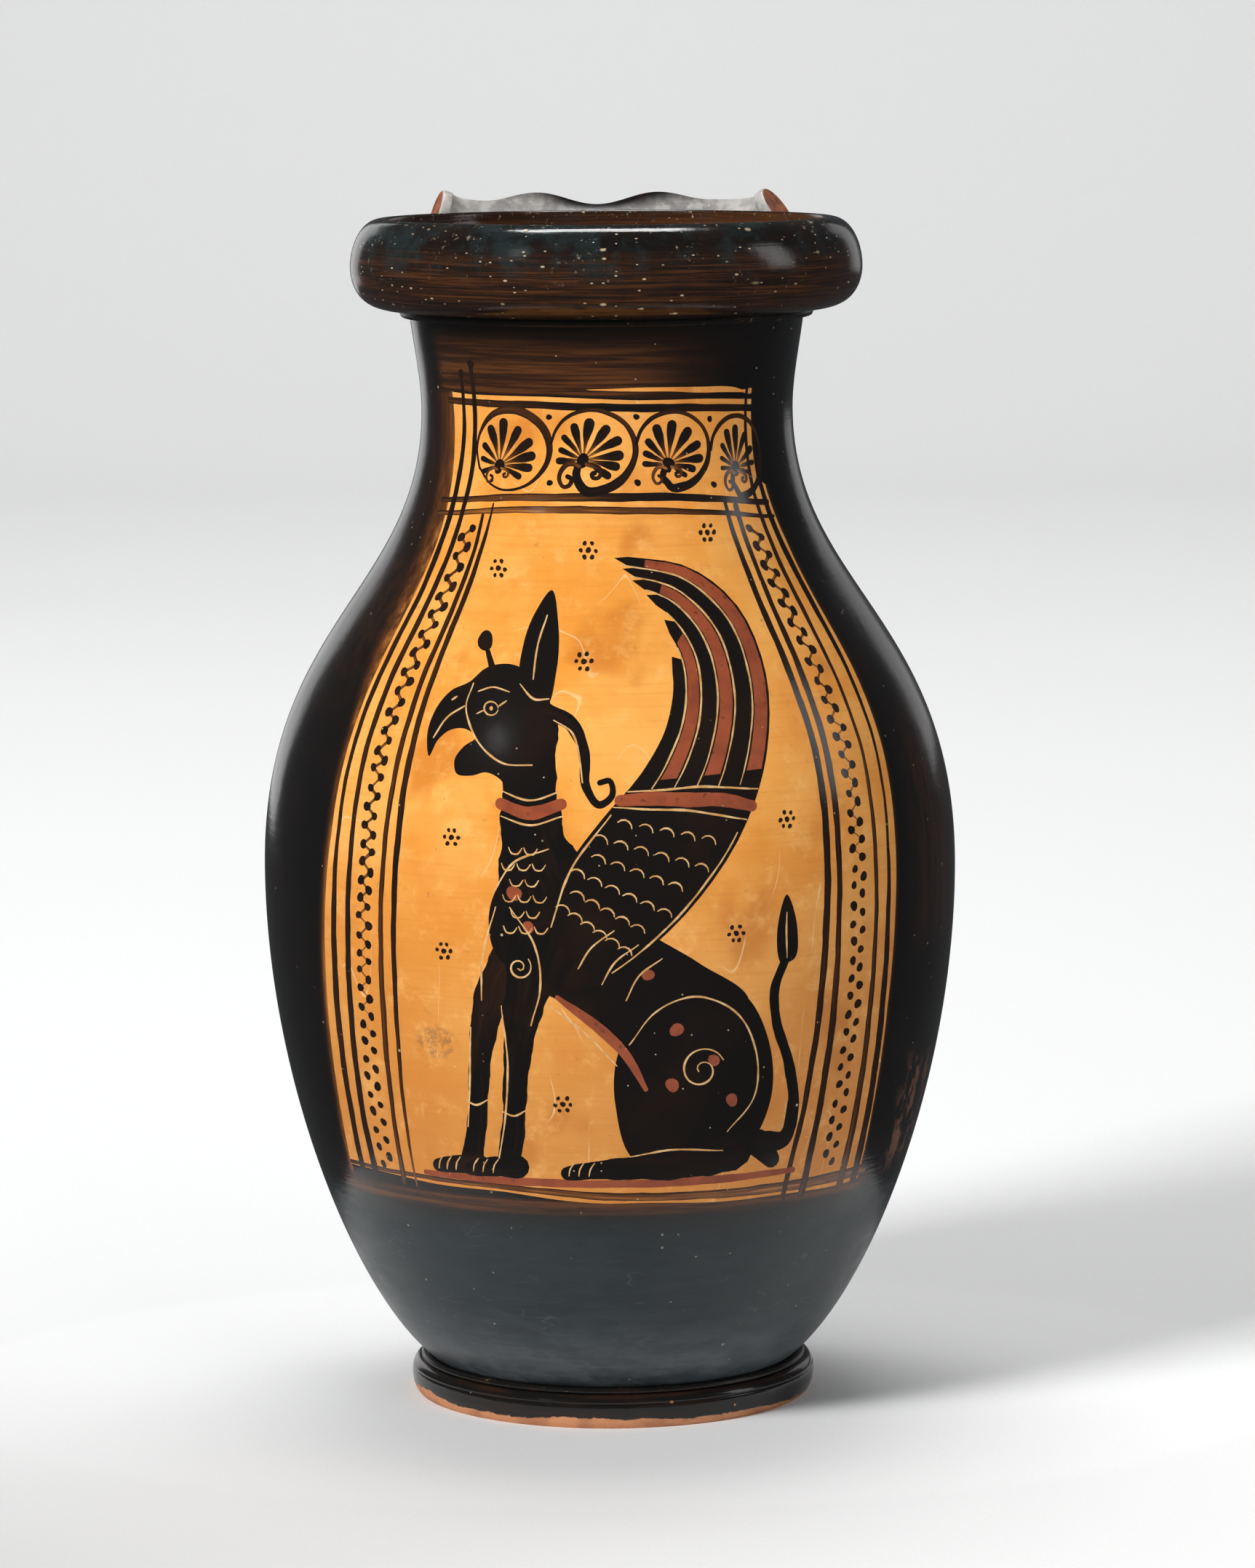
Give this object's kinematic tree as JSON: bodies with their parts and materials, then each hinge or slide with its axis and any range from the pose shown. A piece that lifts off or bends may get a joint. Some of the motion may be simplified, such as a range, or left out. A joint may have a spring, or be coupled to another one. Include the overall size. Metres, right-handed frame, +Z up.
{
  "type": "olpe",
  "caption": "Round-mouthed clay pouring jug with a sagging belly, wide neck, torus mouth ring, ring foot and a double-reeded handle that ends in rotelles.",
  "frame": {"origin": "on the vessel's axis, on the surface that the foot rests on", "axes": "+Z up along the vessel's axis, handle at +Y, painted panel at -Y, right-hand rotelle at +X as seen from the front"},
  "size_m": [0.1512, 0.1512, 0.2622],
  "materials": {
    "black_gloss": "black slip gloss over orange clay, brown where it is thin, worn and chipped",
    "bare_clay": "bare red-brown fired clay, smooth and dull"
  },
  "bodies": {
    "root": {"body": "black_gloss", "mouth_ring": "black_gloss", "mouth_fillet": "black_gloss", "foot": "black_gloss", "foot_fillet": "black_gloss", "handle_crossbar": "black_gloss", "handle_reed_left": "black_gloss", "handle_reed_right": "black_gloss", "rotelle_left": "bare_clay", "rotelle_right": "bare_clay"}
  },
  "joints": []
}
